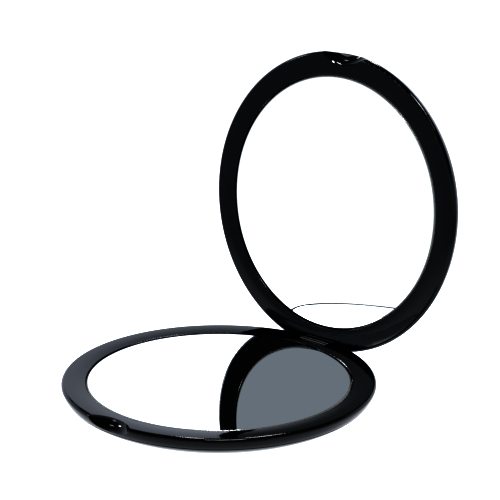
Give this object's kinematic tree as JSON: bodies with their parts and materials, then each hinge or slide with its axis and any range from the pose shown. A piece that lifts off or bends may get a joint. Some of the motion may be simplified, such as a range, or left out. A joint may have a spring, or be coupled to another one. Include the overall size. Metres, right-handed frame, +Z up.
{
  "type": "compact mirror",
  "caption": "Round folding pocket mirror: two slim moulded halves on one hinge, each with a flat glass mirror let into its rim, standing open.",
  "frame": {"origin": "centre of the flat resting face under the lower half", "axes": "+Z up from the resting face, -Y to the front with its thumb scoop, +Y to the hinge, +X to the right seen from the front"},
  "size_m": [0.0698, 0.0814, 0.0721],
  "materials": {
    "gloss_black_plastic": "high gloss, as moulded",
    "mirror_glass": "silvered float glass, ground edge",
    "foam_tape": "matt foam",
    "nickel_plate": "bright nickel plate",
    "pin_steel": "drawn wire"
  },
  "bodies": {
    "base": {"base_cover": "gloss_black_plastic", "base_frame": "gloss_black_plastic", "base_mirror": "mirror_glass", "base_mirror_tape": "foam_tape", "base_magnet_left": "nickel_plate", "base_magnet_right": "nickel_plate", "hinge_pin": "pin_steel"},
    "lid": {"lid_cover": "gloss_black_plastic", "lid_frame": "gloss_black_plastic", "lid_mirror": "mirror_glass", "lid_mirror_tape": "foam_tape", "lid_magnet_left": "nickel_plate", "lid_magnet_right": "nickel_plate"}
  },
  "joints": [
    {"name": "lid_hinge", "type": "hinge", "parent": "base", "child": "lid", "pos_m": [0, 0.0334, 0.0049], "axis": [-1, 0, 0], "range_deg": [-96, 22]}
  ]
}
